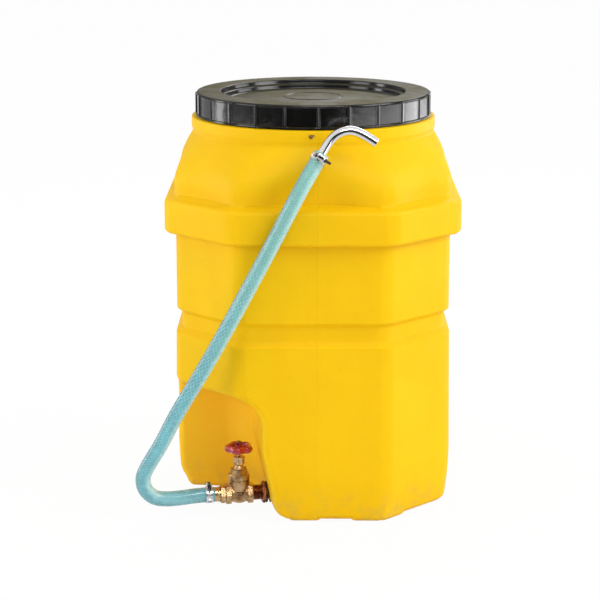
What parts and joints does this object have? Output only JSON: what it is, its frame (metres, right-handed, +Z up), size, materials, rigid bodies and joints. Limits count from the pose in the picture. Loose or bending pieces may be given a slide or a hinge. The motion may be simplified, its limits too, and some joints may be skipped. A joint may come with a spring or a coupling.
{
  "type": "water tank",
  "caption": "Free-standing moulded water tank with a black screw lid, a gate valve in a corner recess, and a clear braided hose that rises to a bent spout.",
  "frame": {"origin": "centre of the tank's footprint, on the floor under its feet", "axes": "+Z up along the tank's axis; the front, with the hose and the spout, faces -Y; the valve's recess is at -X, -Y"},
  "size_m": [0.556, 0.5328, 0.711],
  "materials": {
    "tank_plastic": "yellow moulded polyethylene, satin, faint orange-peel",
    "lid_plastic": "black moulded plastic, glossy",
    "seal_rubber": "black rubber, matt",
    "bronze": "cast and machined bronze, slightly tarnished",
    "packing_cord": "plaited packing cord",
    "handwheel_red": "crimson paint on cast iron, glossy",
    "hose_plastic": "clear blue-green hose with a white braid in its wall",
    "clamp_steel": "zinc-plated steel",
    "key_plastic": "black moulded plastic",
    "spout_chrome": "bright chrome plate"
  },
  "bodies": {
    "tank": {"tank_shell": "tank_plastic", "outlet_pipe": "bronze", "outlet_inner_nut": "bronze", "outlet_outer_nut": "bronze", "outlet_inner_washer": "seal_rubber", "outlet_outer_washer": "seal_rubber", "valve_body": "bronze", "valve_bonnet": "bronze", "stem_packing": "packing_cord", "packing_gland": "bronze", "gland_nut": "bronze", "hose_nipple": "bronze", "hose": "hose_plastic", "lower_clamp_band": "clamp_steel", "upper_clamp_band": "clamp_steel", "spout": "spout_chrome", "hose_hook": "clamp_steel"},
    "lid_seal": {"lid_gasket": "seal_rubber"},
    "lid": {"screw_lid": "lid_plastic"},
    "handwheel": {"handwheel": "handwheel_red", "valve_stem": "bronze", "handwheel_nut": "bronze"},
    "wedge": {"gate_wedge": "bronze"},
    "lower_screw": {"lower_clamp_screw": "key_plastic"},
    "upper_screw": {"upper_clamp_screw": "key_plastic"}
  },
  "joints": [
    {"name": "lid_lift", "type": "slide", "parent": "tank", "child": "lid_seal", "axis": [0, 0, 1], "range_m": [0, 0.25]},
    {"name": "lid_turn", "type": "hinge", "parent": "lid_seal", "child": "lid", "pos_m": [0, 0, 0.69], "axis": [0, 0, 1], "range_deg": [0, 450]},
    {"name": "handwheel_turn", "type": "hinge", "parent": "tank", "child": "handwheel", "pos_m": [-0.12776, -0.16751, 0.1122], "axis": [0, 0, 1], "range_deg": [0, 2520]},
    {"name": "wedge_lift", "type": "slide", "parent": "tank", "child": "wedge", "axis": [0, 0, 1], "range_m": [0, 0.021]},
    {"name": "lower_clamp_turn", "type": "hinge", "parent": "tank", "child": "lower_screw", "pos_m": [-0.17956, -0.17651, 0.04791], "axis": [0.1588, -0.9873, 0], "range_deg": [0, 1800]},
    {"name": "upper_clamp_turn", "type": "hinge", "parent": "tank", "child": "upper_screw", "pos_m": [0.01229, -0.26478, 0.63431], "axis": [0.844, 0, -0.5363], "range_deg": [0, 1800]}
  ],
  "couplings": [
    {"joint": "wedge_lift", "follows": "handwheel_turn", "m_per_rad": 0.00047746}
  ]
}
